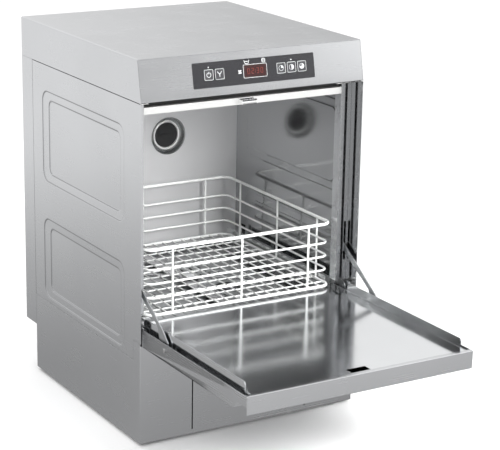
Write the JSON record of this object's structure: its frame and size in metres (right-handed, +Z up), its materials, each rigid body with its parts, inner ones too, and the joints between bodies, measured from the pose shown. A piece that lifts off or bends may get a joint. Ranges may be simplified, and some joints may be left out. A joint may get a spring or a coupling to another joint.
{
  "type": "glass washer machine",
  "caption": "Undercounter stainless glass washer with a drop-down door, sliding wire basket, spray arms, wash pump and a sloping front control strip.",
  "frame": {"origin": "centre of the footprint of the machine with its door open, at floor level", "axes": "+Z up, -Y out of the front towards the user, +X towards the user's right"},
  "size_m": [0.46, 0.8722, 0.71],
  "materials": {
    "outer_steel": "satin-brushed stainless steel sheet",
    "chamber_steel": "bright-rolled stainless steel sheet",
    "door_inner_steel": "bright stainless steel",
    "frame_steel": "bright folded stainless steel",
    "arm_steel": "pressed stainless steel",
    "bracket_steel": "plain stainless steel",
    "chrome_trim": "polished chrome ring",
    "screw_steel": "bright screw heads",
    "control_black": "gloss black film with white outlines",
    "key_black": "satin black keys",
    "display_glass": "dark red display window",
    "housing_black": "black moulded plastic",
    "board_green": "circuit board",
    "pipe_black": "black EPDM hose",
    "pump_grey": "glass-filled polypropylene",
    "motor_metal": "die-cast aluminium",
    "valve_white": "cream plastic",
    "foot_rubber": "black rubber",
    "basket_white": "white plastic-coated wire",
    "nut_plastic": "pale grey plastic"
  },
  "bodies": {
    "cabinet": {"top_cover": "outer_steel", "control_fascia": "outer_steel", "control_strip": "control_black", "display_window": "display_glass", "control_housing": "housing_black", "control_board": "board_green", "left_side_panel": "outer_steel", "right_side_panel": "outer_steel", "door_jambs": "frame_steel", "top_frame": "frame_steel", "door_catch": "bracket_steel", "chamber_ceiling": "chamber_steel", "chamber_back_wall": "chamber_steel", "vent_dish": "chamber_steel", "vent_ring": "chrome_trim", "vent_plug": "housing_black", "wash_tank": "chamber_steel", "drip_tray": "chamber_steel", "tank_filter": "arm_steel", "sump_strainer": "bracket_steel", "overflow_pipe": "pump_grey", "basket_rails": "chamber_steel", "lower_spindle": "arm_steel", "upper_spindle": "arm_steel", "arm_nuts": "nut_plastic", "front_panel": "outer_steel", "base_side_panels": "outer_steel", "base_back_panel": "outer_steel", "rear_cover": "outer_steel", "base_tray": "bracket_steel", "feet": "foot_rubber", "pump_volute": "pump_grey", "pump_motor": "motor_metal", "delivery_pipe": "pipe_black", "suction_pipe": "pipe_black", "drain_pump": "pump_grey", "drain_hose": "pipe_black", "boiler": "chamber_steel", "tank_element": "bracket_steel", "inlet_valve": "valve_white", "cable_gland": "housing_black", "hinge_pins": "bracket_steel", "case_screws": "screw_steel"},
    "door": {"door_outer_panel": "outer_steel", "door_inner_panel": "door_inner_steel", "stay_arms": "bracket_steel", "hinge_plates": "bracket_steel"},
    "basket": {"basket_rim": "basket_white", "basket_sides": "basket_white", "basket_floor": "basket_white"},
    "upper_wash": {"upper_wash_arm": "arm_steel"},
    "upper_rinse": {"upper_rinse_arm": "arm_steel"},
    "lower_wash": {"lower_wash_arm": "arm_steel"},
    "lower_rinse": {"lower_rinse_arm": "arm_steel"},
    "impeller": {"pump_impeller": "pump_grey"},
    "key_power": {"key_power": "key_black"},
    "key_drain": {"key_drain": "key_black"},
    "key_short": {"key_short": "key_black"},
    "key_medium": {"key_medium": "key_black"},
    "key_long": {"key_long": "key_black"}
  },
  "joints": [
    {"name": "door_hinge", "type": "hinge", "parent": "cabinet", "child": "door", "pos_m": [0, -0.0351, 0.229], "axis": [-1, 0, 0], "range_deg": [0, 90]},
    {"name": "basket_slide", "type": "slide", "parent": "cabinet", "child": "basket", "axis": [0, 1, 0], "range_m": [-0.134, 0]},
    {"name": "key_power_press", "type": "slide", "parent": "cabinet", "child": "key_power", "axis": [0, 0.9806, -0.1961], "range_m": [0, 0.0008], "stiffness_N_per_m": 900},
    {"name": "key_drain_press", "type": "slide", "parent": "cabinet", "child": "key_drain", "axis": [0, 0.9806, -0.1961], "range_m": [0, 0.0008], "stiffness_N_per_m": 900},
    {"name": "key_short_press", "type": "slide", "parent": "cabinet", "child": "key_short", "axis": [0, 0.9806, -0.1961], "range_m": [0, 0.0008], "stiffness_N_per_m": 900},
    {"name": "key_medium_press", "type": "slide", "parent": "cabinet", "child": "key_medium", "axis": [0, 0.9806, -0.1961], "range_m": [0, 0.0008], "stiffness_N_per_m": 900},
    {"name": "key_long_press", "type": "slide", "parent": "cabinet", "child": "key_long", "axis": [0, 0.9806, -0.1961], "range_m": [0, 0.0008], "stiffness_N_per_m": 900},
    {"name": "upper_wash_spin", "type": "hinge", "parent": "cabinet", "child": "upper_wash", "pos_m": [0, 0.1739, 0.6], "axis": [0, 0, 1], "continuous": true},
    {"name": "upper_rinse_spin", "type": "hinge", "parent": "cabinet", "child": "upper_rinse", "pos_m": [0, 0.1739, 0.6], "axis": [0, 0, 1], "continuous": true},
    {"name": "lower_wash_spin", "type": "hinge", "parent": "cabinet", "child": "lower_wash", "pos_m": [0, 0.1739, 0.21], "axis": [0, 0, 1], "continuous": true},
    {"name": "lower_rinse_spin", "type": "hinge", "parent": "cabinet", "child": "lower_rinse", "pos_m": [0, 0.1739, 0.21], "axis": [0, 0, 1], "continuous": true},
    {"name": "impeller_spin", "type": "hinge", "parent": "cabinet", "child": "impeller", "pos_m": [0, 0.2119, 0.062], "axis": [1, 0, 0], "continuous": true}
  ]
}
